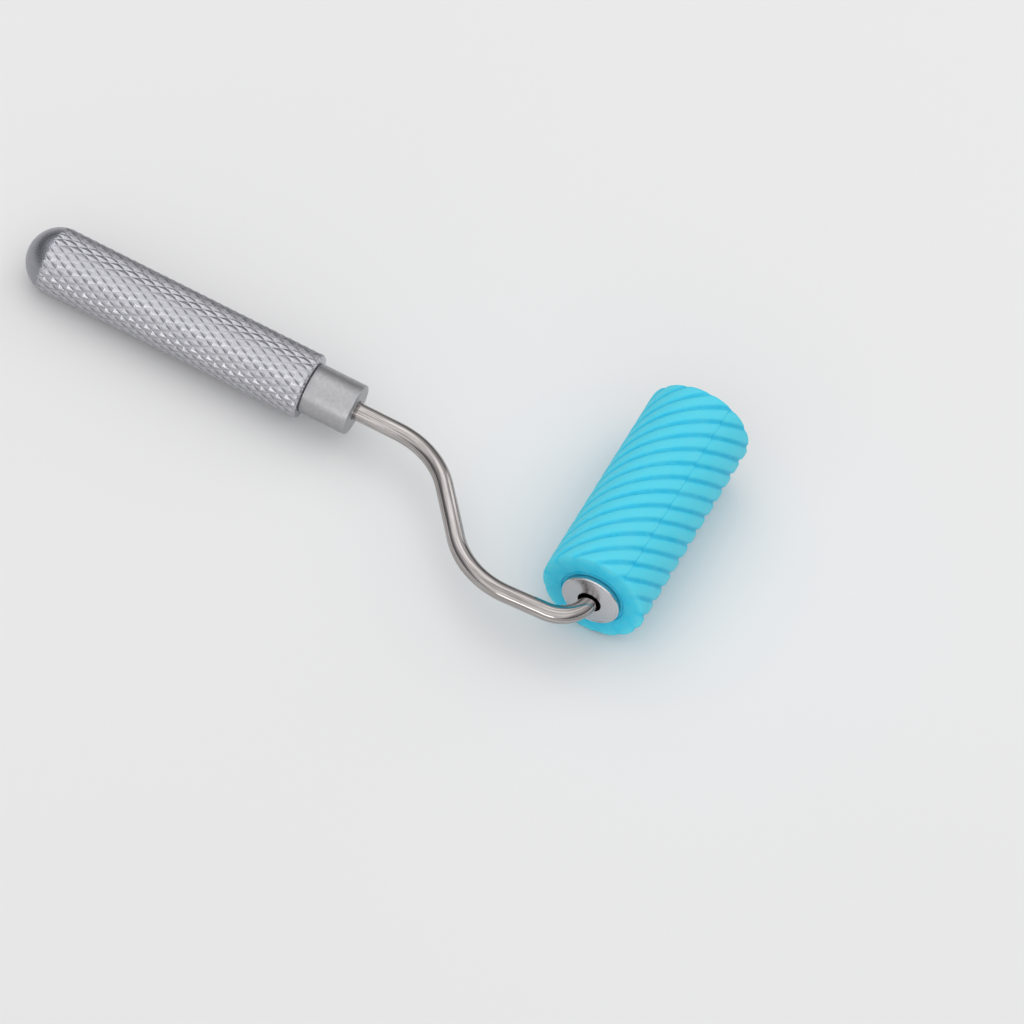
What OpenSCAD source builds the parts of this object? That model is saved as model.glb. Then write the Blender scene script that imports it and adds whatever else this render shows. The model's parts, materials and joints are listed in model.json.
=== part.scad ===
// Small hand roller: a ribbed silicone roller on a bent steel rod with a round
// metal grip. All lengths are millimetres and all angles are degrees.
//
// The tool lies at rest on a flat surface at z = 0. The roller touches it along
// its underside and the grip touches it with its domed end, so the grip, ferrule
// and rod slope down a little from the roller's axis. +X runs along the roller
// from the rod side to the free side, +Y runs towards the end of the grip, and
// the origin is on the surface, under the middle of the tool's outline.
//
// Sub-parts are drawn in tool space and then put in place by a placing module:
// the origin of tool space is the middle of the roller on its axis, X and Y are
// as above, and the rod lies flat in its XY plane.

/* [Roller] */
// Length of the silicone sleeve
sleeve_len = 60; // [44:1:90]
// Outside diameter of the sleeve over its ribs
sleeve_d = 26.7; // [22:0.1:34]
// Radius of the rounded edges at the sleeve's ends
sleeve_edge_r = 0.9; // [0.3:0.1:2]
// Outside diameter of the rigid core tube inside the sleeve
core_d = 15; // [14.6:0.1:15.4]
// Wall thickness of the core tube
core_wall = 2; // [1.2:0.1:2.2]

/* [End bushes] */
// Diameter of the polished flange at each end of the roller
flange_d = 15; // [14:0.1:15]
// Distance that each flange stands out from the sleeve
flange_t = 1.6; // [1.4:0.1:2.5]
// Length of each bush inside the core tube
bush_reach = 10; // [8:0.5:16]
// Diameter of the hole through each bush, which holds the bearing liner
bush_hole_d = 6.5; // [6.1:0.1:7]
// Depth of the open mouth round the rod in the near bush, down to the liner
mouth_depth = 2.8; // [2.4:0.1:3.5]
// Diameter of the pocket in the far bush, which holds the washer and clip
pocket_d = 8.8; // [8.4:0.1:9.4]
// Depth of that pocket
pocket_depth = 1.9; // [1.7:0.1:2.5]
// Length of each plastic bearing liner
liner_len = 6; // [4:0.5:6]

/* [Frame rod] */
// Diameter of the rod
rod_d = 4.5; // [4:0.1:4.8]
// Distance from the middle of the roller back to the axis of the grip
grip_offset = 12.4; // [6:0.1:16]
// Height of the upper bend's corner over the roller's axis
shoulder_y = 50.8; // [48:0.1:54]
// Bend radius at the upper bend
shoulder_r = 21; // [12:0.5:23]
// Distance of the middle bend's corner beyond the end of the sleeve
elbow_gap = 11.35; // [11:0.05:14]
// Height of the middle bend's corner over the roller's axis
elbow_y = 28.9; // [27:0.1:31]
// Bend radius at the middle bend
elbow_r = 20.5; // [12:0.5:22]
// Distance of the last bend's corner beyond the end of the sleeve
foot_gap = 9.5; // [9.2:0.05:10.5]
// Bend radius where the rod turns into the roller
foot_r = 8.5; // [6:0.1:9]

/* [Axle end] */
// Diameter of the clip groove's floor
groove_d = 3.2; // [3:0.1:3.6]
// Thickness of the retaining clip
clip_t = 0.6; // [0.5:0.1:0.8]
// Outside diameter of the retaining clip
clip_d = 7.4; // [6.8:0.1:7.8]
// Thickness of the thrust washer
washer_t = 0.5; // [0.4:0.1:0.6]
// Outside diameter of the thrust washer
washer_d = 8; // [7.6:0.1:8.2]
// Length of axle left beyond the clip groove
axle_tail = 1; // [0.8:0.1:1.5]
// Thickness of the stop ring pressed on the rod at the near bush
stop_t = 1.4; // [1:0.1:1.6]
// Outside diameter of the stop ring
stop_d = 5.9; // [5.5:0.1:6]

/* [Ferrule] */
// Distance from the roller's axis to the front face of the ferrule
ferrule_y = 72.7; // [68:0.1:78]
// Diameter of the ferrule's round neck
ferrule_d = 13; // [11.6:0.1:14.5]
// Diameter of the spigot that is pressed into the grip
spigot_d = 10.5; // [9:0.1:11]
// Length of the spigot
spigot_len = 18; // [12:0.5:26]
// Chamfer round the ferrule's front face
ferrule_chamfer = 0.5; // [0.2:0.1:0.8]

/* [Grip] */
// Diameter of the grip over the knurl
grip_d = 17; // [15.6:0.1:20]
// Distance from the roller's axis to the mouth of the grip
mouth_y = 85.3; // [82:0.1:90]
// Distance from the roller's axis to the centre of the grip's round end
dome_y = 154; // [130:0.5:175]
// Chamfer round the mouth of the grip
mouth_chamfer = 0.5; // [0.2:0.1:0.8]
// Free space in the bore beyond the spigot
bore_spare = 4; // [2:0.5:10]

/* [Running fits] */
// Radial clearance of the rod in the bearing liners
running_fit = 0.05; // [0.02:0.01:0.08]
// Sideways play of the roller at each end
end_play = 0.15; // [0.1:0.05:0.2]

/* [Hidden] */
$fn = 96;

// Radii
sleeve_r = sleeve_d / 2;
core_r = core_d / 2;
core_bore_r = core_r - core_wall;
flange_r = flange_d / 2;
bush_hole_r = bush_hole_d / 2;
rod_r = rod_d / 2;
axle_bore_r = rod_r + running_fit;
groove_r = groove_d / 2;
grip_r = grip_d / 2;
ferrule_r = ferrule_d / 2;
spigot_r = spigot_d / 2;

// Places along the roller's axis
sleeve_end = sleeve_len / 2;
flange_face = sleeve_end + flange_t;
near_liner_face = flange_face - mouth_depth;
stop_face = near_liner_face + end_play;
pocket_floor = flange_face - pocket_depth;
washer_face = pocket_floor + end_play;
clip_face = washer_face + washer_t;
groove_slack = 0.05;
groove_start = clip_face - groove_slack;
groove_end = clip_face + clip_t + groove_slack;
axle_end = groove_end + axle_tail;
axle_chamfer = 0.4;
flange_chamfer = 0.4;
mouth_bevel = 0.5;

// Clip outline
clip_relief_r = 2.5;
clip_opening = 2.9;
clip_lug_w = 1.4;

// Places along the grip's axis
spigot_end = mouth_y + spigot_len;
tang_end = spigot_end + 1;
bore_end = spigot_end + bore_spare;
drill_point = spigot_r * 0.58;
hole_bevel = 0.4;

// The rod's corners, from the tang in the grip to the free end of the axle
ROD_POINTS = [
    [-grip_offset, tang_end],
    [-grip_offset, shoulder_y],
    [-sleeve_end - elbow_gap, elbow_y],
    [-sleeve_end - foot_gap, 0],
    [axle_end, 0]
];
ROD_BENDS = [0, shoulder_r, elbow_r, foot_r, 0];

// Length and rise of the band that fuses a bend to a straight
band_len = 0.25;
band_rise = 0.02;

function unit(v) = v / norm(v);
function heading(v) = atan2(v[1], v[0]);
function left_of(v) = [-v[1], v[0]];

// Directions into and out of a corner, and how far it turns (left is positive)
function way_in(p, i) = unit(p[i] - p[i - 1]);
function way_out(p, i) = unit(p[i + 1] - p[i]);
function turn(p, i) =
    let (a = way_in(p, i), b = way_out(p, i))
    atan2(a[0] * b[1] - a[1] * b[0], a * b);

// Where a corner's bend starts and ends; the path's two ends have no bend
function is_end(p, i) = i == 0 || i == len(p) - 1;
function setback(p, r, i) = r[i] * tan(abs(turn(p, i)) / 2);
function bend_start(p, r, i) = is_end(p, i) ? p[i] : p[i] - way_in(p, i) * setback(p, r, i);
function bend_end(p, r, i) = is_end(p, i) ? p[i] : p[i] + way_out(p, i) * setback(p, r, i);
function bend_centre(p, r, i) =
    bend_start(p, r, i) + left_of(way_in(p, i)) * sign(turn(p, i)) * r[i];

// Rest position: the roller and the grip's round end both touch z = 0
rest_slope = asin((sleeve_r - grip_r) / dome_y);
ELBOW = 2;
outline_left = bend_centre(ROD_POINTS, ROD_BENDS, ELBOW)[0] - elbow_r - rod_r;
outline_right = axle_end;
outline_front = -sleeve_r;
outline_back = dome_y * cos(rest_slope) + grip_r;
roller_place = [
    -(outline_left + outline_right) / 2,
    -(outline_front + outline_back) / 2,
    sleeve_r
];

// Puts a turning piece in place
module on_roller() {
    translate(roller_place) children();
}

// Puts a piece of the frame in place, on the slope of the resting tool
module on_frame() {
    translate(roller_place) rotate([-rest_slope, 0, 0]) children();
}

// A cylinder along the roller's axis from x0 to x1
module along_x(x0, x1, r) {
    translate([x0, 0, 0]) rotate([0, 90, 0]) cylinder(h = x1 - x0, r = r);
}

// A cone along the roller's axis from x0 to x1
module cone_x(x0, x1, r0, r1) {
    translate([x0, 0, 0]) rotate([0, 90, 0]) cylinder(h = x1 - x0, r1 = r0, r2 = r1);
}

// Turns a profile, drawn as [radius, distance], about the grip's axis
module turned_y() {
    translate([-grip_offset, 0, 0]) rotate([-90, 0, 0]) rotate_extrude() children();
}

// A cylinder of radius r along the XY plane, from one point to another
module bar(from, to, r) {
    translate([from[0], from[1], 0])
        rotate([0, 90, heading(to - from)])
            cylinder(h = norm(to - from), r = r);
}

// A short band, a hair thicker than the rod, where a bend meets a straight: it
// fuses the two into one solid
module weld_band(centre, way, r) {
    bar(centre - way * band_len / 2, centre + way * band_len / 2, r + band_rise);
}

// A round rod through the given corners, with a round bend at each one
module bent_rod(points, bends, r) {
    last = len(points) - 1;
    for (i = [0 : last - 1])
        bar(bend_end(points, bends, i), bend_start(points, bends, i + 1), r);
    for (i = [1 : last - 1]) {
        centre = bend_centre(points, bends, i);
        // A right-hand bend is swept from its far end back to its start
        first = turn(points, i) > 0 ? bend_start(points, bends, i) : bend_end(points, bends, i);
        translate([centre[0], centre[1], 0])
            rotate([0, 0, heading(first - centre)])
                rotate_extrude(angle = abs(turn(points, i)))
                    translate([bends[i], 0]) circle(r = r);
        weld_band(bend_start(points, bends, i), way_in(points, i), r);
        weld_band(bend_end(points, bends, i), way_out(points, i), r);
    }
}

// Grip: a turned metal bar with a round end, bored from the mouth
module grip() {
    color([0.68, 0.68, 0.71]) on_frame() turned_y() difference() {
        union() {
            polygon([
                [0, mouth_y],
                [grip_r - mouth_chamfer, mouth_y],
                [grip_r, mouth_y + mouth_chamfer],
                [grip_r, dome_y],
                [0, dome_y]
            ]);
            intersection() {
                translate([0, dome_y]) circle(r = grip_r);
                translate([0, dome_y]) square(grip_r);
            }
        }
        polygon([
            [0, mouth_y - 1],
            [spigot_r, mouth_y - 1],
            [spigot_r, bore_end],
            [0, bore_end + drill_point]
        ]);
    }
}

// Ferrule: the smooth neck, whose spigot is pressed into the grip
module ferrule() {
    color([0.64, 0.64, 0.67]) on_frame() turned_y() polygon([
        [rod_r + hole_bevel, ferrule_y],
        [ferrule_r - ferrule_chamfer, ferrule_y],
        [ferrule_r, ferrule_y + ferrule_chamfer],
        [ferrule_r, mouth_y],
        [spigot_r, mouth_y],
        [spigot_r, spigot_end],
        [rod_r, spigot_end],
        [rod_r, ferrule_y + hole_bevel]
    ]);
}

// Frame rod: tang, three bends and axle in one piece of steel
module frame_rod() {
    color([0.80, 0.80, 0.82]) on_frame() difference() {
        bent_rod(ROD_POINTS, ROD_BENDS, rod_r);
        difference() {
            along_x(groove_start, groove_end, rod_r + 1);
            along_x(groove_start - 1, groove_end + 1, groove_r);
        }
        difference() {
            along_x(axle_end - axle_chamfer, axle_end + 1, rod_r + 1);
            cone_x(axle_end - axle_chamfer, axle_end, rod_r, rod_r - axle_chamfer);
        }
    }
}

// Stop ring: keeps the roller off the last bend
module stop_ring() {
    color([0.45, 0.45, 0.47]) on_frame() difference() {
        along_x(-stop_face - stop_t, -stop_face, stop_d / 2);
        along_x(-stop_face - stop_t - 1, -stop_face + 1, rod_r);
    }
}

// Thrust washer between the far bush and the clip
module thrust_washer() {
    color([0.75, 0.75, 0.76]) on_frame() difference() {
        along_x(washer_face, clip_face, washer_d / 2);
        along_x(washer_face - 1, clip_face + 1, axle_bore_r);
    }
}

// Outline of an E-clip: an open ring with three lugs that reach the groove
module clip_outline() {
    difference() {
        union() {
            difference() {
                circle(d = clip_d);
                circle(r = clip_relief_r);
            }
            for (a = [0, 120, 240])
                rotate(a) translate([groove_r, -clip_lug_w / 2])
                    square([clip_relief_r - groove_r + 0.5, clip_lug_w]);
        }
        circle(r = groove_r);
        translate([-clip_d, -clip_opening / 2]) square([clip_d, clip_opening]);
    }
}

// Retaining clip in the axle's groove
module retaining_clip() {
    color([0.30, 0.30, 0.32]) on_frame()
        translate([clip_face, 0, 0]) rotate([0, 90, 0])
            linear_extrude(height = clip_t) clip_outline();
}

// Roller sleeve: moulded silicone with rounded end edges
module roller_sleeve() {
    color([0.30, 0.80, 0.92]) on_roller() rotate([0, 90, 0]) rotate_extrude() difference() {
        union() {
            translate([0, -sleeve_end + sleeve_edge_r])
                square([sleeve_r, sleeve_len - 2 * sleeve_edge_r]);
            translate([0, -sleeve_end])
                square([sleeve_r - sleeve_edge_r, sleeve_len]);
            for (side = [-1, 1])
                translate([sleeve_r - sleeve_edge_r, side * (sleeve_end - sleeve_edge_r)])
                    circle(r = sleeve_edge_r);
        }
        translate([-1, -sleeve_end - 1]) square([core_r + 1, sleeve_len + 2]);
    }
}

// Roller core: the rigid tube that carries the sleeve
module roller_core() {
    color([0.88, 0.88, 0.86]) on_roller() difference() {
        along_x(-sleeve_end, sleeve_end, core_r);
        along_x(-sleeve_end - 1, sleeve_end + 1, core_bore_r);
    }
}

// Body of an end bush at the +X end: a flange and the part pressed in the core
module bush_body() {
    along_x(sleeve_end - bush_reach, sleeve_end, core_bore_r);
    along_x(sleeve_end, flange_face - flange_chamfer, flange_r);
    cone_x(flange_face - flange_chamfer, flange_face, flange_r, flange_r - flange_chamfer);
}

// Near bush: the rod enters through its open mouth
module near_bush() {
    color([0.86, 0.86, 0.88]) on_roller() mirror([1, 0, 0]) difference() {
        bush_body();
        along_x(sleeve_end - bush_reach - 1, flange_face + 1, bush_hole_r);
        cone_x(flange_face - mouth_bevel, flange_face, bush_hole_r, bush_hole_r + mouth_bevel);
    }
}

// Far bush: its pocket holds the washer and the clip
module far_bush() {
    color([0.86, 0.86, 0.88]) on_roller() difference() {
        bush_body();
        along_x(sleeve_end - bush_reach - 1, flange_face + 1, bush_hole_r);
        along_x(pocket_floor, flange_face + 1, pocket_d / 2);
    }
}

// Bearing liner whose outer face is at the given distance from the middle
module liner(face) {
    difference() {
        along_x(face - liner_len, face, bush_hole_r);
        along_x(face - liner_len - 1, face + 1, axle_bore_r);
    }
}

// Near bearing liner
module near_liner() {
    color([0.93, 0.93, 0.90]) on_roller() mirror([1, 0, 0]) liner(near_liner_face);
}

// Far bearing liner
module far_liner() {
    color([0.93, 0.93, 0.90]) on_roller() liner(pocket_floor);
}

grip();
ferrule();
frame_rod();
stop_ring();
thrust_washer();
retaining_clip();
roller_sleeve();
roller_core();
near_bush();
far_bush();
near_liner();
far_liner();
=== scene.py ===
import json
import math

import bpy
import numpy as np
from mathutils import Matrix, Vector


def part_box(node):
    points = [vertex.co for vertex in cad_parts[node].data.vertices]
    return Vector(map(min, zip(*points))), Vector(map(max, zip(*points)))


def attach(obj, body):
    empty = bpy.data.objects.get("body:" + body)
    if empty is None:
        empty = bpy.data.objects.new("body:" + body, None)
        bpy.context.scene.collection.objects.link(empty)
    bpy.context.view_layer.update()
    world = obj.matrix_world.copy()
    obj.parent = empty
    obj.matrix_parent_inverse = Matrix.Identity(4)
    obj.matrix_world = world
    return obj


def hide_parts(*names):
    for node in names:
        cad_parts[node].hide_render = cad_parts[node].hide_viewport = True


# Small hand roller: a ribbed silicone roller on a bent steel rod with a knurled metal grip.
# Meshes are drawn in millimetres in tool space, as the CAD parts are: the origin is the middle
# of the roller on its axis, X runs along the roller to its free side, and Y runs to the grip's
# round end. They are then put in the row frame, in metres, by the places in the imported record.

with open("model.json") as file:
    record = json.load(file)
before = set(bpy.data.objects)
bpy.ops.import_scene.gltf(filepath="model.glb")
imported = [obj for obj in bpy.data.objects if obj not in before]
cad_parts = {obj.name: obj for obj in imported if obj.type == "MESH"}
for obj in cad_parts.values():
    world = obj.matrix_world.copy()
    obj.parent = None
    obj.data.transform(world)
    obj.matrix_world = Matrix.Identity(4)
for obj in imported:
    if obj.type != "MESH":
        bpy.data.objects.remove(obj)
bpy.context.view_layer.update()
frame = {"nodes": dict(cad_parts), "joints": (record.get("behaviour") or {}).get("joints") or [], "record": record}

MM = 0.001

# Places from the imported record
ROLLER_CENTRE = Vector(frame["joints"][0]["pos_m"])
GRIP_MOUNT = next(m for m in frame["record"]["mounts"] if m["name"] == "grip_pin")
GRIP_X = (GRIP_MOUNT["pos_m"][0] - ROLLER_CENTRE.x) / MM

# Roller sleeve, with SLEEVE_COLUMNS columns of points between its two parting lines
SLEEVE_LOW, SLEEVE_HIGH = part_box("roller_sleeve")
SLEEVE_END = (SLEEVE_HIGH.x - SLEEVE_LOW.x) / 2 / MM
SLEEVE_R = (SLEEVE_HIGH.z - SLEEVE_LOW.z) / 2 / MM
SLEEVE_EDGE_R = 0.7
CORE_R = 7.5
SLEEVE_COLUMNS = 174
SLEEVE_ROWS = 250
EDGE_ROWS = 6

# Ring groove in each end face of the sleeve: its two radii, depth and the lean of its walls
END_GROOVE = (7.75, 8.35)
END_GROOVE_DEPTH = 0.35
END_GROOVE_LEAN = 0.1

# Plain band outside that groove, and the rib height whose colour the end faces take as painted shade, a deeper
# blue than the rib tops
END_FACE_BAND = 0.8
END_FACE_SHADE_HEIGHT = 0.2

# Spiral ribs: pitch along the roller, and phase and groove widths as shares of a rib's spacing
RIB_STARTS = 13
RIB_PITCH = 4.88
RIB_PHASE = 0.15
RIB_CROWN = 0.10
GROOVE_DEPTH = 0.50
GROOVE_FLOOR = 0.03
GROOVE_REACH = 0.22

# Share by which the ribs are lower at the sleeve's ends, and how far from the ends that starts
RIB_FADE = 0.55
RIB_FADE_REACH = 1.6

# Parting lines: angle of the visible one, the ribs' shift across it as a share of their
# spacing, its depth, and the angle to the nearest columns
PARTING_ANGLE = 116.5
PARTING_SHIFT = 0.09
PARTING_DEPTH = 0.14
PARTING_REACH = 0.55

# End bushes: flange, body, the near bush's mouth and the far bush's pocket
FLANGE_R = CORE_R
FLANGE_OUT = 1.6
FLANGE_FACE = SLEEVE_END + FLANGE_OUT
FLANGE_ROUND = 0.35
FLANGE_RIM = 0.5
FLANGE_STEP = 0.08
BUSH_R = 5.5
BUSH_REACH = 10
BUSH_HOLE_R = 3.25
BUSH_COLUMNS = 160
HOLE_ROUND = 0.2
MOUTH_R = 3.0
MOUTH_LIP = 0.8
MOUTH_RISE = 0.55
# Width over which the painted shade at the near bush's mouth fades out
MOUTH_SHADE_BLEND = 0.1
POCKET_R = 4.4
POCKET_DEPTH = 1.9

# Frame rod: corners of its path in tool space, and the bend radius at each
ROD_R = 2.25
TANG_END = 104.3
SHOULDER_Y = 50.8
SHOULDER_BEND = 21.0
ELBOW = (-41.35, 28.9)
ELBOW_BEND = 20.5
FOOT_X = -39.5
FOOT_BEND = 8.5
AXLE_END = 32.0
AXLE_CHAMFER = 0.4
CLIP_GROOVE = (30.3, 31.0)
CLIP_GROOVE_R = 1.6
ROD_COLUMNS = 64
BEND_STEPS = 36

# Ferrule
FERRULE_R = 6.5
FERRULE_Y = 72.7
FERRULE_ROUND = 0.4
FERRULE_COLUMNS = 128
SPIGOT_R = 5.25
SPIGOT_LEN = 18
ROD_GAP = 0.22
ROD_GAP_DEPTH = 1.2
SEAM = 0.25

# Grip, and its blind bore, which takes the colour of the knurl at BORE_HEIGHT
GRIP_R = GRIP_MOUNT["dims"]["r_mm"]
GRIP_MOUTH_Y = 85.3
GRIP_CHAMFER = 0.5
DOME_Y = 154
DOME_ROWS = 16
BORE_SPARE = 4
BORE_END = GRIP_MOUTH_Y + SPIGOT_LEN + BORE_SPARE
BORE_CHAMFER = 0.2
BORE_HEIGHT = 0.4
DRILL_POINT = 0.58

# Diamond knurl: two sets of crossing grooves on a lattice of rows along the grip and columns
# round it, in which a groove is KNURL_SPAN steps from the next one of its set
KNURL_STARTS = 24
KNURL_PITCH = 4.2625
KNURL_TURN = 4.5
KNURL_Y = 88.6
KNURL_DEPTH = 0.30
KNURL_LIP = 0.20
KNURL_SPAN = 12
KNURL_STEP = KNURL_PITCH / KNURL_SPAN
KNURL_COLUMNS = KNURL_SPAN * KNURL_STARTS

# Least gap from the mouth to the first lattice row, in steps, and the rows' reach past DOME_Y
KNURL_MOUTH_GAP = 0.3
KNURL_PAST_DOME = 3.6

# Painted shadow marks in the knurl, dark where a steep groove wall lies in shade: place between two crossings, and
# reach from there in lattice steps
SHADOW_MARK_PLACE = 0.42
SHADOW_MARK_REACH_ACROSS = 1.35
SHADOW_MARK_REACH_ALONG = 2.2


# ---------------------------------------------------------------- meshes

def frame_space():
    """Tool space of the frame, which slopes with the grip, to the row frame."""
    x = Vector((1, 0, 0))
    y = Vector(GRIP_MOUNT["axis"]).normalized()
    z = x.cross(y)
    turn = Matrix((x, y, z)).transposed().to_4x4()
    return Matrix.Translation(ROLLER_CENTRE) @ turn @ Matrix.Scale(MM, 4)


def roller_space():
    """Tool space of the turning roller to the row frame."""
    return Matrix.Translation(ROLLER_CENTRE) @ Matrix.Scale(MM, 4)


def add_mesh(name, points, faces, space, smooth_angle):
    """A new object with its mesh in the row frame, smooth up to an angle in degrees."""
    world = np.array(space)
    placed = points @ world[:3, :3].T + world[:3, 3]
    mesh = bpy.data.meshes.new(name)
    mesh.from_pydata(placed.tolist(), [], faces)
    mesh.update()
    mesh.shade_smooth()
    mesh.set_sharp_from_angle(angle=math.radians(smooth_angle))
    piece = bpy.data.objects.new(name, mesh)
    bpy.context.scene.collection.objects.link(piece)
    return piece


def add_values(piece, name, values):
    """Stores one number for each point, for the piece's material to read."""
    attribute = piece.data.attributes.new(name, "FLOAT", "POINT")
    attribute.data.foreach_set("value", np.asarray(values, np.float32).ravel())


def add_vectors(piece, name, vectors):
    """Stores one vector for each point, for the piece's material to read."""
    attribute = piece.data.attributes.new(name, "FLOAT_VECTOR", "POINT")
    attribute.data.foreach_set("vector", np.asarray(vectors, np.float32).ravel())


def ring_faces(rows, columns, first=0, closed=False):
    """Four-sided faces between rings of points, and from the last ring to the first if closed."""
    faces = []
    for j in range(rows if closed else rows - 1):
        here = first + j * columns
        there = first + ((j + 1) % rows) * columns
        for i in range(columns):
            k = (i + 1) % columns
            faces.append((here + i, here + k, there + k, there + i))
    return faces


def pole_faces(pole, ring, columns, flip):
    """Three-sided faces from a point on the axis to a ring."""
    faces = []
    for i in range(columns):
        k = (i + 1) % columns
        faces.append((pole, ring + i, ring + k) if flip else (pole, ring + k, ring + i))
    return faces


def outward(points, faces):
    """The same four-sided faces, all turned round if they enclose a negative volume."""
    a, b, c, d = (points[list(corner)] for corner in zip(*faces))
    volume = np.einsum("ij,ij->", a, np.cross(b, c) + np.cross(c, d))
    return faces if volume > 0 else [tuple(reversed(f)) for f in faces]


def arc(centre, radius, start, end, steps):
    """Points (radius, distance) along an arc of a profile, angles in degrees."""
    angles = np.radians(np.linspace(start, end, steps + 1))
    return [(centre[0] + radius * math.cos(a), centre[1] + radius * math.sin(a)) for a in angles]


def place_rings(across, up, along, axis):
    """Ring coordinates about an axis to points in tool space."""
    if axis == "roller":
        points = np.stack([along, across, up], -1)
    else:
        points = np.stack([GRIP_X + across, along, up], -1)
    return points.reshape(-1, 3)


def turned(name, profile, columns, space, axis):
    """A closed profile of (radius, distance) turned about the roller's or the grip's axis."""
    angles = np.arange(columns) * 2 * math.pi / columns
    radius = np.array([p[0] for p in profile])[:, None]
    along = np.array([p[1] for p in profile])[:, None] * np.ones(columns)
    points = place_rings(radius * np.cos(angles), radius * np.sin(angles), along, axis)
    faces = ring_faces(len(profile), columns, closed=True)
    return add_mesh(name, points, outward(points, faces), space, smooth_angle=30)


# ---------------------------------------------------------------- roller

def sleeve_angles():
    """Column angles and rib phases: each parting line, then the columns up to the next one."""
    angles = []
    phases = []
    for half in range(2):
        line = PARTING_ANGLE + 180 * half
        first, last = line + PARTING_REACH, line + 180 - PARTING_REACH
        angles += [line] + list(np.linspace(first, last, SLEEVE_COLUMNS))
        phase = RIB_PHASE + PARTING_SHIFT * (1 - half)
        phases += [RIB_PHASE + PARTING_SHIFT / 2] + [phase] * SLEEVE_COLUMNS
    return np.array(angles), np.array(phases)


def sleeve_rows():
    """Places along the sleeve: close rows round each edge and even rows between them."""
    edge_start = SLEEVE_END - SLEEVE_EDGE_R
    bend = np.radians(np.linspace(90, 0, EDGE_ROWS + 1)[:-1])
    edge = edge_start + SLEEVE_EDGE_R * np.sin(bend)
    body = np.linspace(edge_start, -edge_start, SLEEVE_ROWS)
    return np.concatenate([edge, body, -edge[::-1]])


def rib_drop(angle, along, phase):
    """How far the ribbed surface lies below the sleeve's full radius."""
    start = RIB_STARTS * angle / 360 - along / RIB_PITCH - phase
    gap = np.abs(start - np.round(start))
    wall = np.clip((gap - GROOVE_FLOOR) / (GROOVE_REACH - GROOVE_FLOOR), 0, 1)
    groove = 0.5 + 0.5 * np.cos(np.pi * wall)
    return GROOVE_DEPTH * groove + RIB_CROWN * np.cos(np.pi * gap) ** 2


def sleeve_skin(rows, angles, phases):
    """Radius of the ribbed skin, and its height from 0, the deepest parting line, to 1."""
    past = np.clip(np.abs(rows) - (SLEEVE_END - SLEEVE_EDGE_R), 0, SLEEVE_EDGE_R)
    rounding = SLEEVE_EDGE_R - np.sqrt(SLEEVE_EDGE_R ** 2 - past ** 2)
    near_end = np.clip(1 - (SLEEVE_END - np.abs(rows)) / RIB_FADE_REACH, 0, 1)
    fade = 1 - RIB_FADE * near_end ** 2
    drop = rib_drop(angles[None], rows[:, None], phases[None]) * fade[:, None]
    for line in (0, SLEEVE_COLUMNS + 1):
        drop[:, line] = np.maximum(drop[:, line - 1], drop[:, line + 1]) + PARTING_DEPTH
    radius = SLEEVE_R - np.maximum(drop, 0) - rounding[:, None]
    return radius, 1 - drop / (GROOVE_DEPTH + RIB_CROWN + PARTING_DEPTH)


def end_face():
    """Outline (radius, distance) of an end face and its ring groove, from outside inwards."""
    groove_in, groove_out = END_GROOVE
    bottom = SLEEVE_END - END_GROOVE_DEPTH
    return np.array([
        (groove_out + END_FACE_BAND, SLEEVE_END),
        (groove_out, SLEEVE_END),
        (groove_out - END_GROOVE_LEAN, bottom),
        (groove_in + END_GROOVE_LEAN, bottom),
        (groove_in, SLEEVE_END),
        (CORE_R, SLEEVE_END),
    ])


def ribbed_sleeve():
    """Moulded silicone tread: thirteen spiral ribs, rounded ends and two parting lines."""
    angles, phases = sleeve_angles()
    rows = sleeve_rows()
    skin, height = sleeve_skin(rows, angles, phases)
    face = end_face()
    face_radius = np.repeat(face[:, :1], len(angles), 1)
    # Painted shade: the end faces are coloured from low on the rib ramp
    end_face_shade = np.full((2 * len(face), len(angles)), END_FACE_SHADE_HEIGHT)
    radius = np.concatenate([skin, face_radius, face_radius[::-1]])
    along = np.concatenate([rows, -face[:, 1], face[::-1, 1]])[:, None] * np.ones(len(angles))
    turn = np.radians(angles)
    points = place_rings(radius * np.cos(turn), radius * np.sin(turn), along, "roller")
    faces = outward(points, ring_faces(len(radius), len(angles), closed=True))
    piece = add_mesh("ribbed_sleeve", points, faces, roller_space(), smooth_angle=50)
    add_values(piece, "relief", np.concatenate([height, end_face_shade]))
    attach(piece, "roller")
    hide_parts("roller_sleeve")
    return piece


def bush_profile(hole_r, hole_floor, rise):
    """Profile of an end bush: body, flange with a bright rim, and a turned face up to the hole."""
    body_end = SLEEVE_END - BUSH_REACH
    rim_r = FLANGE_R - FLANGE_RIM
    face = FLANGE_FACE - FLANGE_STEP
    hole_edge = face + rise
    profile = [(BUSH_R, body_end), (BUSH_R, SLEEVE_END), (FLANGE_R, SLEEVE_END)]
    profile += arc((FLANGE_R - FLANGE_ROUND, FLANGE_FACE - FLANGE_ROUND), FLANGE_ROUND, 0, 90, 8)
    profile += [(rim_r, FLANGE_FACE), (rim_r - FLANGE_STEP, face)]
    profile += arc((hole_r + HOLE_ROUND, hole_edge - HOLE_ROUND), HOLE_ROUND, 90, 180, 5)
    profile += [(hole_r, hole_floor), (BUSH_HOLE_R, hole_floor), (BUSH_HOLE_R, body_end)]
    return profile


def near_bush():
    """Polished bush whose face rises to an open mouth with a thin lip, which the rod enters."""
    mouth = bush_profile(MOUTH_R, FLANGE_FACE - MOUTH_LIP, MOUTH_RISE)
    profile = [(r, -x) for r, x in mouth]
    piece = turned("near_bush_turned", profile, BUSH_COLUMNS, roller_space(), "roller")
    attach(piece, "roller")
    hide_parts("near_bush")
    return piece


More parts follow.
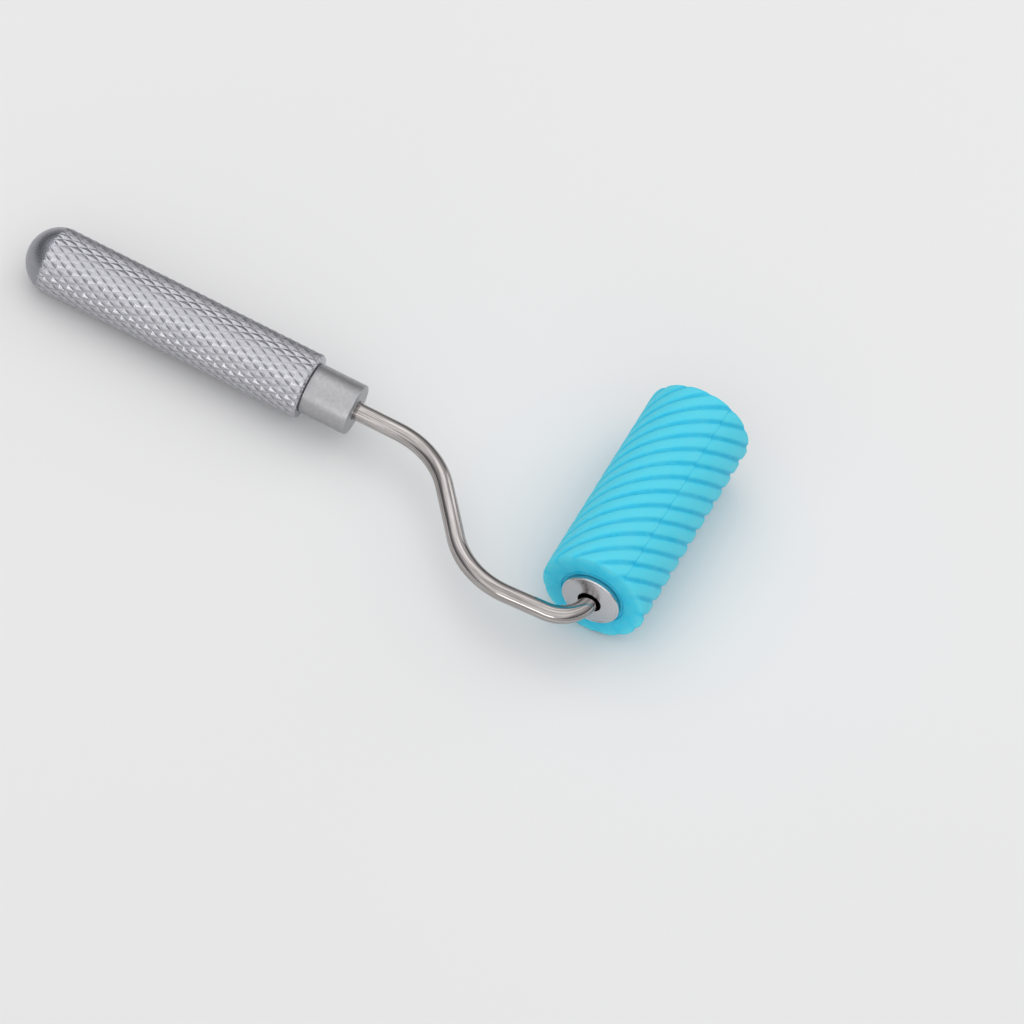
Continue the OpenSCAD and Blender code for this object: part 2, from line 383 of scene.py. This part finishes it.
def far_bush():
    """Polished bush whose pocket holds the washer and the clip."""
    profile = bush_profile(POCKET_R, FLANGE_FACE - POCKET_DEPTH, 0)
    piece = turned("far_bush_turned", profile, BUSH_COLUMNS, roller_space(), "roller")
    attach(piece, "roller")
    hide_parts("far_bush")
    return piece


# ---------------------------------------------------------------- rod

def bend_points(before, corner, after, radius):
    """Rows (x, y, heading) round one bend of the rod."""
    way_in = (corner - before).normalized()
    way_out = (after - corner).normalized()
    turn = math.atan2(way_in.cross(way_out), way_in.dot(way_out))
    start = corner - way_in * radius * math.tan(abs(turn) / 2)
    side = math.copysign(1, turn)
    centre = start + Vector((-way_in.y, way_in.x)) * side * radius
    heading = math.atan2(way_in.y, way_in.x)
    rows = []
    for k in range(BEND_STEPS + 1):
        angle = heading + turn * k / BEND_STEPS
        out = Vector((math.sin(angle), -math.cos(angle))) * side * radius
        rows.append((centre.x + out.x, centre.y + out.y, angle))
    return rows


def axle_rows():
    """Rows (x, y, heading, radius) of the axle's end: the clip's groove and the chamfer."""
    groove_start, groove_end = CLIP_GROOVE
    ends = [
        (groove_start, ROD_R), (groove_start, CLIP_GROOVE_R),
        (groove_end, CLIP_GROOVE_R), (groove_end, ROD_R),
        (AXLE_END - AXLE_CHAMFER, ROD_R), (AXLE_END, ROD_R - AXLE_CHAMFER),
    ]
    return [(x, 0, 0, radius) for x, radius in ends]


def rod_rows():
    """Rows (x, y, heading, radius) from the tang in the grip to the free end of the axle."""
    corners = [
        Vector((GRIP_X, TANG_END)),
        Vector((GRIP_X, SHOULDER_Y)),
        Vector(ELBOW),
        Vector((FOOT_X, 0)),
        Vector((AXLE_END, 0)),
    ]
    rows = [(GRIP_X, TANG_END, -math.pi / 2, ROD_R)]
    for k, bend in enumerate((SHOULDER_BEND, ELBOW_BEND, FOOT_BEND)):
        for x, y, heading in bend_points(*corners[k:k + 3], bend):
            rows.append((x, y, heading, ROD_R))
    return rows + axle_rows()


def rod_rings(rows):
    """Points in rings along the rod, and the place of each across and along the drawn bar."""
    points = []
    drawn = []
    travel = 0
    for k, (x, y, heading, radius) in enumerate(rows):
        if k:
            travel += math.hypot(x - rows[k - 1][0], y - rows[k - 1][1])
        for i in range(ROD_COLUMNS):
            angle = 2 * math.pi * i / ROD_COLUMNS
            side = radius * math.cos(angle)
            up = radius * math.sin(angle)
            points.append((x - side * math.sin(heading), y + side * math.cos(heading), up))
            drawn.append((side, up, travel))
    return points, drawn


def bent_rod():
    """Polished rod with three bends, in one piece with the axle."""
    rows = rod_rows()
    points, drawn = rod_rings(rows)
    rod_length = drawn[-1][2]
    for (x, y, _, _), distance in ((rows[0], 0), (rows[-1], rod_length)):
        points.append((x, y, 0))
        drawn.append((0, 0, distance))
    count = len(rows) * ROD_COLUMNS
    faces = ring_faces(len(rows), ROD_COLUMNS)
    faces += pole_faces(count, 0, ROD_COLUMNS, flip=False)
    faces += pole_faces(count + 1, count - ROD_COLUMNS, ROD_COLUMNS, flip=True)
    piece = add_mesh("bent_rod", np.array(points), faces, frame_space(), smooth_angle=40)
    add_vectors(piece, "drawn", drawn)
    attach(piece, "frame")
    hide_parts("frame_rod")
    return piece


# ---------------------------------------------------------------- ferrule and grip

def ferrule_neck():
    """Bead-blasted neck with rounded edges, a gap round the rod and its hidden spigot."""
    spigot_end = GRIP_MOUTH_Y + SPIGOT_LEN
    gap_r = ROD_R + ROD_GAP
    gap_floor = FERRULE_Y + ROD_GAP_DEPTH
    edge_r = FERRULE_R - FERRULE_ROUND
    profile = [(ROD_R, spigot_end), (ROD_R, gap_floor), (gap_r, gap_floor)]
    profile += arc((gap_r + HOLE_ROUND, FERRULE_Y + HOLE_ROUND), HOLE_ROUND, 180, 270, 4)
    profile += arc((edge_r, FERRULE_Y + FERRULE_ROUND), FERRULE_ROUND, 270, 360, 6)
    profile += [(FERRULE_R, GRIP_MOUTH_Y - SEAM), (FERRULE_R - SEAM, GRIP_MOUTH_Y)]
    profile += [(SPIGOT_R, GRIP_MOUTH_Y), (SPIGOT_R, spigot_end)]
    piece = turned("ferrule_neck", profile, FERRULE_COLUMNS, frame_space(), "grip")
    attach(piece, "frame")
    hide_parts("ferrule")
    return piece


def knurl_rise(i, j):
    """Height, 0 to 1, of the diamonds at column i and row j, and which groove is the nearer.

    Each diamond is a low pyramid whose sides steepen in the last step down to the grooves.
    """
    gap_one = 1 - np.abs(2 * ((i + j) / KNURL_SPAN % 1) - 1)
    gap_other = 1 - np.abs(2 * ((i - j) / KNURL_SPAN % 1) - 1)
    gap = np.minimum(gap_one, gap_other)
    last_step = 2 / KNURL_SPAN
    steep = gap / last_step * KNURL_LIP
    gentle = 1 - (1 - gap) * (1 - KNURL_LIP) / (1 - last_step)
    return np.minimum(steep, gentle), gap_one < gap_other


def knurl_painted_shadows(i, j):
    """Share, 0 to 1, of the painted shadow marks in one set of grooves, about midway between crossings."""
    groove = (i + j) / KNURL_SPAN
    across = np.abs(groove - np.round(groove)) * KNURL_SPAN
    along = np.abs((j - i) / KNURL_SPAN % 1 - SHADOW_MARK_PLACE) * KNURL_SPAN / 2
    return np.clip(SHADOW_MARK_REACH_ACROSS - across, 0, 1) * np.clip(SHADOW_MARK_REACH_ALONG - along, 0, 1)


def knurl_rows():
    """Lattice rows from the grip's mouth to where the knurl has run out on the round end."""
    mouth = (GRIP_MOUTH_Y - KNURL_Y) / KNURL_STEP
    first = math.ceil(mouth + KNURL_MOUTH_GAP)
    last = math.floor((DOME_Y + KNURL_PAST_DOME - KNURL_Y) / KNURL_STEP)
    return np.concatenate([[mouth], np.arange(first, last + 1)])


def grip_limit(along):
    """Radius of the bar before knurling: mouth chamfer, cylinder and round end."""
    chamfer = GRIP_R - GRIP_CHAMFER + np.clip(along - GRIP_MOUTH_Y, 0, GRIP_CHAMFER)
    past = np.clip(along - DOME_Y, 0, GRIP_R)
    return np.minimum(chamfer, np.sqrt(GRIP_R ** 2 - past ** 2))


def knurled_skin(rows):
    """Radius, height and share of painted shadow marks of the knurled bar at each point of the lattice."""
    i = np.arange(KNURL_COLUMNS)[None]
    j = rows[:, None]
    rise, _ = knurl_rise(i, j)
    limit = grip_limit(KNURL_Y + j * KNURL_STEP)
    cut = GRIP_R - KNURL_DEPTH * (1 - rise)
    height = np.where(cut < limit, rise, 1)
    nicks = np.where(cut < limit, knurl_painted_shadows(i, j), 0)
    return np.minimum(cut, limit), height, nicks


def knurled_faces(rows, first):
    """Three-sided faces of the knurled skin, split along the nearer groove."""
    faces = []
    for j in range(len(rows) - 1):
        middle = (rows[j] + rows[j + 1]) / 2
        _, leaning = knurl_rise(np.arange(KNURL_COLUMNS) + 0.5, middle)
        here = first + j * KNURL_COLUMNS
        there = here + KNURL_COLUMNS
        for i in range(KNURL_COLUMNS):
            k = (i + 1) % KNURL_COLUMNS
            a, b, c, d = here + i, here + k, there + k, there + i
            faces += [(a, b, d), (b, c, d)] if leaning[i] else [(a, b, c), (a, c, d)]
    return faces


def grip_bore():
    """Outline (radius, distance) of the bore, from its blind end to its chamfered mouth."""
    chamfer_y = GRIP_MOUTH_Y + BORE_CHAMFER
    mouth_r = SPIGOT_R + BORE_CHAMFER
    return np.array([(SPIGOT_R, BORE_END), (SPIGOT_R, chamfer_y), (mouth_r, GRIP_MOUTH_Y)])


def grip_dome(start_y):
    """Outline (radius, distance) of the smooth round end from a place on it, without the pole."""
    start = math.asin((start_y - DOME_Y) / GRIP_R)
    rise = np.linspace(start, math.pi / 2, DOME_ROWS + 2)[1:-1]
    return np.stack([GRIP_R * np.cos(rise), DOME_Y + GRIP_R * np.sin(rise)], -1)


def grip_faces(bore_rows, rows, dome_rows):
    """Faces of the grip: bore, knurled skin, round end, and a pole at each end of them."""
    skin = bore_rows * KNURL_COLUMNS
    dome = skin + (len(rows) - 1) * KNURL_COLUMNS
    last = dome + dome_rows * KNURL_COLUMNS
    pole = last + KNURL_COLUMNS
    faces = ring_faces(bore_rows + 1, KNURL_COLUMNS)
    faces += knurled_faces(rows, skin)
    faces += ring_faces(dome_rows + 1, KNURL_COLUMNS, dome)
    faces += pole_faces(pole, 0, KNURL_COLUMNS, flip=True)
    faces += pole_faces(pole + 1, last, KNURL_COLUMNS, flip=False)
    return [face[::-1] for face in faces]


def knurled_grip():
    """Round bar with a diamond knurl that runs out on its smooth round end, and its bore."""
    rows = knurl_rows()
    skin_y = KNURL_Y + rows * KNURL_STEP
    skin, height, nicks = knurled_skin(rows)
    bore = grip_bore()
    dome = grip_dome(skin_y[-1])
    bore_radius = np.repeat(bore[:, :1], KNURL_COLUMNS, 1)
    dome_radius = np.repeat(dome[:, :1], KNURL_COLUMNS, 1)
    radius = np.concatenate([bore_radius, skin, dome_radius])
    along = np.concatenate([bore[:, 1], skin_y, dome[:, 1]])[:, None] * np.ones(KNURL_COLUMNS)
    angles = np.radians(KNURL_TURN) + np.arange(KNURL_COLUMNS) * 2 * math.pi / KNURL_COLUMNS
    rings = place_rings(radius * np.cos(angles), radius * np.sin(angles), along, "grip")
    poles = [[GRIP_X, BORE_END + SPIGOT_R * DRILL_POINT, 0], [GRIP_X, DOME_Y + GRIP_R, 0]]
    points = np.concatenate([rings, poles])

    bore_height = np.full(bore_radius.size, BORE_HEIGHT)
    heights = [bore_height, height.ravel(), np.ones(dome_radius.size), [BORE_HEIGHT, 1]]
    shares = [np.zeros(bore_radius.size), nicks.ravel(), np.zeros(dome_radius.size), [0, 0]]
    faces = grip_faces(len(bore), rows, len(dome))
    piece = add_mesh("knurled_grip", points, faces, frame_space(), smooth_angle=8)
    add_values(piece, "relief", np.concatenate(heights))
    add_values(piece, "nicks", np.concatenate(shares))
    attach(piece, "frame")
    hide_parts("grip")
    return piece


# ---------------------------------------------------------------- material helpers

def new_finish(name, **values):
    """A Principled material and its node tree, with constant sockets set by name."""
    finish = bpy.data.materials.new(name)
    finish.use_nodes = True
    shader = finish.node_tree.nodes["Principled BSDF"]
    for socket, value in values.items():
        shader.inputs[socket.replace("_", " ")].default_value = value
    return finish, finish.node_tree, shader


def fill_sockets(tree, node, sockets):
    """Sets sockets of a node to numbers, or links outputs to them."""
    for socket, value in sockets.items():
        if isinstance(value, bpy.types.NodeSocket):
            tree.links.new(value, node.inputs[socket])
        else:
            node.inputs[socket].default_value = value


def add_node(tree, kind, sockets=None, **settings):
    """A node with its settings and its sockets filled."""
    node = tree.nodes.new("ShaderNode" + kind)
    for setting, value in settings.items():
        setattr(node, setting, value)
    fill_sockets(tree, node, sockets or {})
    return node


def connect(tree, output, shader, socket):
    """Links an output to a socket of the shader."""
    tree.links.new(output, shader.inputs[socket])


def surface_place(tree):
    """Coordinates on the piece, in metres, which move with it."""
    return add_node(tree, "TexCoord").outputs["Object"]


def stored(tree, name, output="Fac"):
    """A value that the mesh stores at each point."""
    return add_node(tree, "Attribute", attribute_name=name).outputs[output]


def grain(tree, place, size_mm, detail=3.0, roughness=0.55):
    """Noise whose coarsest grain is about size_mm across."""
    scale = 1 / (size_mm * MM)
    sockets = {"Vector": place, "Scale": scale, "Detail": detail, "Roughness": roughness}
    return add_node(tree, "TexNoise", sockets).outputs["Fac"]


def ramp(tree, value, stops):
    """A colour ramp with stops (place, colour)."""
    node = add_node(tree, "ValToRGB", {"Fac": value})
    elements = node.color_ramp.elements
    while len(elements) < len(stops):
        elements.new(0.5)
    for element, (place, colour) in zip(elements, stops):
        element.position = place
        element.color = (*colour, 1)
    return node.outputs["Color"]


def spread(tree, value, low, high, first=0.3, last=0.7):
    """Maps a value from first..last to low..high."""
    sockets = {"Value": value, "From Min": first, "From Max": last, "To Min": low, "To Max": high}
    return add_node(tree, "MapRange", sockets).outputs["Result"]


def tint(tree, colour, other, share):
    """Two colours mixed, the other by the given share."""
    # Sockets of a Mix node share their names, so its colour sockets are taken by number
    factor, first, second, result = 0, 6, 7, 2
    node = add_node(tree, "Mix", data_type="RGBA")
    fill_sockets(tree, node, {factor: share, first: colour, second: other})
    return node.outputs[result]


def bump(tree, shader, height, depth_mm, strength=1.0, over=None):
    """Bump of the given depth on the shader, over an earlier bump if there is one."""
    sockets = {"Height": height, "Distance": depth_mm * MM, "Strength": strength}
    if over:
        sockets["Normal"] = over
    normal = add_node(tree, "Bump", sockets).outputs["Normal"]
    connect(tree, normal, shader, "Normal")
    return normal


# ---------------------------------------------------------------- materials

def silicone():
    """Matt light blue silicone with painted shade deepening the blue in the grooves and parting lines, a painted
    sheen paling the rib tops, and an uneven, slightly dusty skin.
    """
    finish, tree, shader = new_finish(
        "silicone_blue", Subsurface_Weight=0.15, Subsurface_Scale=0.0012,
        Subsurface_Radius=(0.25, 0.8, 1.0), IOR=1.41, Specular_IOR_Level=0.22,
    )
    place = surface_place(tree)
    height = stored(tree, "relief")
    # Painted shade and sheen: deeper blue low in the grooves and parting lines, paler blue on the rib tops
    body = ramp(tree, height, [(0.0, (0.006, 0.49, 0.75)), (0.6, (0.030, 0.605, 0.85)),
                               (1.0, (0.095, 0.70, 0.875))])
    cloud = grain(tree, place, 5, 8, 0.75)
    clouded = tint(tree, body, (0.15, 0.69, 0.82, 1), spread(tree, cloud, 0, 0.5))
    speck = spread(tree, grain(tree, place, 0.8, 1), 0, 0.22, 0.75, 0.78)
    connect(tree, tint(tree, clouded, (0.30, 0.55, 0.63, 1), speck), shader, "Base Color")
    connect(tree, spread(tree, grain(tree, place, 3, 3), 0.46, 0.60), shader, "Roughness")
    uneven = bump(tree, shader, grain(tree, place, 1.8, 5, 0.65), 0.16, 0.8)
    bump(tree, shader, grain(tree, place, 0.3, 3), 0.02, 0.8, uneven)
    return finish


def knurled_aluminium():
    """Satin aluminium: brighter diamonds, and painted shade that darkens the grooves and the smooth round end and
    lays a dark shadow mark beside each diamond.
    """
    finish, tree, shader = new_finish("aluminium_satin", Metallic=1.0)
    place = surface_place(tree)
    height = stored(tree, "relief")
    # Painted shade: grooves (low) darker than the diamonds, and the smooth round end and uncut bar (1.0) much
    # darker
    shaded_relief = ramp(tree, height, [(0.0, (0.43, 0.43, 0.46)), (0.3, (0.50, 0.50, 0.53)),
                               (0.98, (0.53, 0.53, 0.565)), (1.0, (0.28, 0.28, 0.315))])
    blotch = grain(tree, place, 6, 4)
    mottled = tint(tree, shaded_relief, (0.42, 0.42, 0.455, 1), spread(tree, blotch, 0, 0.4))
    # Painted shadow: near-black marks, stored with the mesh, where the steep groove walls lie in shade
    shadowed = tint(tree, mottled, (0.13, 0.13, 0.15, 1), stored(tree, "nicks"))
    connect(tree, shadowed, shader, "Base Color")
    fine = grain(tree, place, 0.4, 4, 0.7)
    connect(tree, spread(tree, fine, 0.20, 0.30), shader, "Roughness")
    bump(tree, shader, fine, 0.06)
    return finish


def blasted_aluminium():
    """Bead-blasted aluminium: a fine sparkling grain over a soft grey."""
    finish, tree, shader = new_finish("aluminium_blasted", Metallic=1.0)
    place = surface_place(tree)
    blotch = grain(tree, place, 0.9, 3)
    base = ramp(tree, blotch, [(0.3, (0.37, 0.37, 0.38)), (0.7, (0.44, 0.44, 0.45))])
    pit = grain(tree, place, 0.14, 2)
    sparkle = spread(tree, pit, 0, 0.8, 0.58, 0.68)
    connect(tree, tint(tree, base, (0.52, 0.52, 0.54, 1), sparkle), shader, "Base Color")
    connect(tree, spread(tree, pit, 0.44, 0.31), shader, "Roughness")
    bump(tree, shader, pit, 0.03, 0.8)
    return finish


def polished_rod():
    """Drawn and polished stainless steel: strong light and dark streaks along the rod, partly faint drawing lines
    and partly painted reflection bands.
    """
    finish, tree, shader = new_finish("steel_polished", Metallic=1.0)
    drawn = stored(tree, "drawn", "Vector")
    stretched = add_node(tree, "VectorMath", {0: drawn, 1: (1, 1, 0.035)}, operation="MULTIPLY")
    vector = stretched.outputs["Vector"]
    sockets = {"Vector": vector, "Scale": 1.8, "Detail": 5.0, "Roughness": 0.65}
    drawing_lines_and_streaks = add_node(tree, "TexNoise", sockets).outputs["Fac"]
    # Painted reflection: base colour streaked light and dark along the rod, over real drawing lines
    base = ramp(tree, drawing_lines_and_streaks, [(0.34, (0.23, 0.213, 0.206)), (0.66, (0.60, 0.565, 0.55))])
    connect(tree, base, shader, "Base Color")
    connect(tree, spread(tree, drawing_lines_and_streaks, 0.08, 0.16), shader, "Roughness")
    bump(tree, shader, drawing_lines_and_streaks, 0.012, 0.5)
    return finish


def axis_distance(tree, place):
    """Distance in metres of a place from the roller's axis."""
    centre = tuple(ROLLER_CENTRE)
    centred = add_node(tree, "VectorMath", {0: place, 1: centre}, operation="SUBTRACT")
    sockets = {0: centred.outputs["Vector"], 1: (0, 1, 1)}
    across = add_node(tree, "VectorMath", sockets, operation="MULTIPLY")
    length = add_node(tree, "VectorMath", {0: across.outputs["Vector"]}, operation="LENGTH")
    return length.outputs["Value"]


def turned_plate():
    """Bright plated bush with painted shade blacking the lip at the mouth: fine turning rings spread highlights
    into a fan.
    """
    finish, tree, shader = new_finish("plated_turned", Metallic=1.0, Anisotropic=0.75)
    place = surface_place(tree)
    radius = axis_distance(tree, place)
    rings = grain(tree, add_node(tree, "CombineXYZ", {"X": radius}).outputs["Vector"], 0.12, 2)
    base = ramp(tree, rings, [(0.3, (0.50, 0.50, 0.52)), (0.7, (0.68, 0.68, 0.70))])
    # Painted shade: the mouth's lip coloured near-black, fading out just outside it
    mouth = spread(tree, radius, 0.92, 0, MOUTH_R * MM, (MOUTH_R + MOUTH_SHADE_BLEND) * MM)
    connect(tree, tint(tree, base, (0.02, 0.02, 0.02, 1), mouth), shader, "Base Color")
    connect(tree, spread(tree, grain(tree, place, 1.5, 3), 0.14, 0.24), shader, "Roughness")
    tangent = add_node(tree, "Tangent", direction_type="RADIAL", axis="X")
    connect(tree, tangent.outputs["Tangent"], shader, "Tangent")
    bump(tree, shader, rings, 0.006, 0.5)
    return finish


def small_steel(name, dark, light, rough):
    """Steel of the small ring parts, with fine turning grain."""
    finish, tree, shader = new_finish(name, Metallic=1.0)
    place = surface_place(tree)
    fine = grain(tree, place, 0.3, 3)
    connect(tree, ramp(tree, fine, [(0.3, dark), (0.7, light)]), shader, "Base Color")
    connect(tree, spread(tree, fine, rough, rough + 0.12), shader, "Roughness")
    bump(tree, shader, fine, 0.008, 0.5)
    return finish


def plain_steel():
    """Bright steel of the thrust washer."""
    return small_steel("steel_plain", (0.36, 0.36, 0.37), (0.50, 0.50, 0.51), 0.30)


def shade_black_steel():
    """Steel of the stop ring, coloured near-black as painted shade inside the near bush's hole."""
    return small_steel("steel_black", (0.010, 0.010, 0.011), (0.022, 0.022, 0.024), 0.45)


def spring_steel():
    """Dark spring steel of the retaining clip."""
    return small_steel("steel_spring", (0.10, 0.10, 0.11), (0.18, 0.18, 0.19), 0.32)


def white_plastic():
    """Off-white moulded plastic of the core and the bearing liners."""
    finish, tree, shader = new_finish("plastic_white", IOR=1.5)
    place = surface_place(tree)
    cloud = grain(tree, place, 4, 3)
    base = ramp(tree, cloud, [(0.3, (0.66, 0.66, 0.62)), (0.7, (0.76, 0.76, 0.73))])
    connect(tree, base, shader, "Base Color")
    connect(tree, spread(tree, grain(tree, place, 0.5, 2), 0.38, 0.50), shader, "Roughness")
    bump(tree, shader, grain(tree, place, 0.15, 2), 0.004, 0.5)
    return finish


def pale_floor():
    """Matt, almost even light grey."""
    finish, tree, shader = new_finish("floor_pale", Roughness=0.9, Specular_IOR_Level=0.1)
    cloud = grain(tree, surface_place(tree), 400, 2)
    base = ramp(tree, cloud, [(0.3, (0.83, 0.83, 0.83)), (0.7, (0.85, 0.85, 0.85))])
    connect(tree, base, shader, "Base Color")
    return finish


def wear(piece, finish):
    """Gives a new piece its one material."""
    piece.data.materials.clear()
    piece.data.materials.append(finish)


def wear_node(name, finish):
    """Gives a CAD node that stays in view a better material."""
    for slot in frame["nodes"][name].material_slots:
        slot.material = finish


# ---------------------------------------------------------------- stage, light and camera

# Camera, in degrees and metres, with the lens in millimetres
VIEW_AZIMUTH = -168.63
VIEW_ELEVATION = 54.05
VIEW_ROLL = 18.49
VIEW_DISTANCE = 1.6779
VIEW_TARGET = Vector((-0.01095, -0.04677, 0.0095))
LENS_MM = 246.09
SENSOR_MM = 36

# Floor, a hair below the tool, in metres
FLOOR_SIZE = 8
FLOOR_Z = -0.00005


def floor():
    """Plain pale floor under the tool."""
    bpy.ops.mesh.primitive_plane_add(size=FLOOR_SIZE, location=(0, 0, FLOOR_Z))
    plane = bpy.context.object
    plane.name = "floor"
    wear(plane, pale_floor())


def direction(azimuth, elevation):
    """Unit vector towards an azimuth from +X and an elevation, in degrees."""
    a, e = math.radians(azimuth), math.radians(elevation)
    return Vector((math.cos(e) * math.cos(a), math.cos(e) * math.sin(a), math.sin(e)))


def softbox(name, way, distance, width, height, power):
    """Rectangular area light that stands in a direction from the tool and points at it."""
    lamp = bpy.data.lights.new(name, "AREA")
    lamp.shape = "RECTANGLE"
    lamp.size = width
    lamp.size_y = height
    lamp.energy = power
    box = bpy.data.objects.new(name, lamp)
    box.location = way * distance
    box.rotation_euler = way.to_track_quat("Z", "Y").to_euler()
    box.visible_camera = False
    bpy.context.scene.collection.objects.link(box)
    return box


def studio_softboxes():
    """Key and rim light, and a low strip in front that only mirrors in the metal."""
    softbox("key_softbox", direction(60, 56), distance=1.5, width=1.3, height=1.3, power=2.7)
    strip = softbox("front_softbox", direction(-172, 12), distance=1.4, width=0.8, height=0.22,
                    power=1.4)
    strip.visible_diffuse = False
    softbox("rim_softbox", direction(-30, 25), distance=1.4, width=0.8, height=0.8, power=2.0)


def studio_room():
    """Light of a room that darkens downwards, with a broad glow above the camera."""
    world = bpy.data.worlds.new("studio")
    bpy.context.scene.world = world
    world.use_nodes = True
    tree = world.node_tree
    way = add_node(tree, "TexCoord").outputs["Generated"]
    height = add_node(tree, "SeparateXYZ", {"Vector": way}).outputs["Z"]
    room = ramp(tree, height, [(0.0, (0.17, 0.17, 0.18)), (0.35, (0.28, 0.28, 0.29)),
                               (0.57, (0.56, 0.56, 0.57)), (0.8, (0.90, 0.90, 0.91)),
                               (1.0, (1.05, 1.05, 1.05))])
    sockets = {0: way, 1: tuple(direction(-176, 45))}
    toward = add_node(tree, "VectorMath", sockets, operation="DOT_PRODUCT").outputs["Value"]
    glow = spread(tree, toward, 0, 0.95, 0.62, 0.80)
    backdrop = tree.nodes["Background"]
    connect(tree, tint(tree, room, (1.2, 1.2, 1.2, 1), glow), backdrop, "Color")
    backdrop.inputs["Strength"].default_value = 1.0


def camera():
    """Long-lens camera at the photograph's viewing angle."""
    back = direction(VIEW_AZIMUTH, VIEW_ELEVATION)
    level = Vector((0, 0, 1)).cross(back).normalized()
    upright = back.cross(level)
    roll = math.radians(VIEW_ROLL)
    right = level * math.cos(roll) + upright * math.sin(roll)
    up = upright * math.cos(roll) - level * math.sin(roll)
    lens = bpy.data.cameras.new("camera")
    lens.lens = LENS_MM
    lens.sensor_width = SENSOR_MM
    eye = bpy.data.objects.new("camera", lens)
    turn = Matrix((right, up, back)).transposed().to_4x4()
    eye.matrix_world = Matrix.Translation(VIEW_TARGET + back * VIEW_DISTANCE) @ turn
    bpy.context.scene.collection.objects.link(eye)
    bpy.context.scene.camera = eye


# ---------------------------------------------------------------- scene

bpy.context.scene.view_settings.view_transform = "Standard"
camera()
floor()
studio_softboxes()
studio_room()

plate = turned_plate()
wear(ribbed_sleeve(), silicone())
wear(near_bush(), plate)
wear(far_bush(), plate)
wear(bent_rod(), polished_rod())
wear(ferrule_neck(), blasted_aluminium())
wear(knurled_grip(), knurled_aluminium())

plastic = white_plastic()
# Stop ring near-black: painted shade inside the near bush's hole
wear_node("stop_ring", shade_black_steel())
wear_node("thrust_washer", plain_steel())
wear_node("retaining_clip", spring_steel())
wear_node("roller_core", plastic)
wear_node("near_liner", plastic)
wear_node("far_liner", plastic)
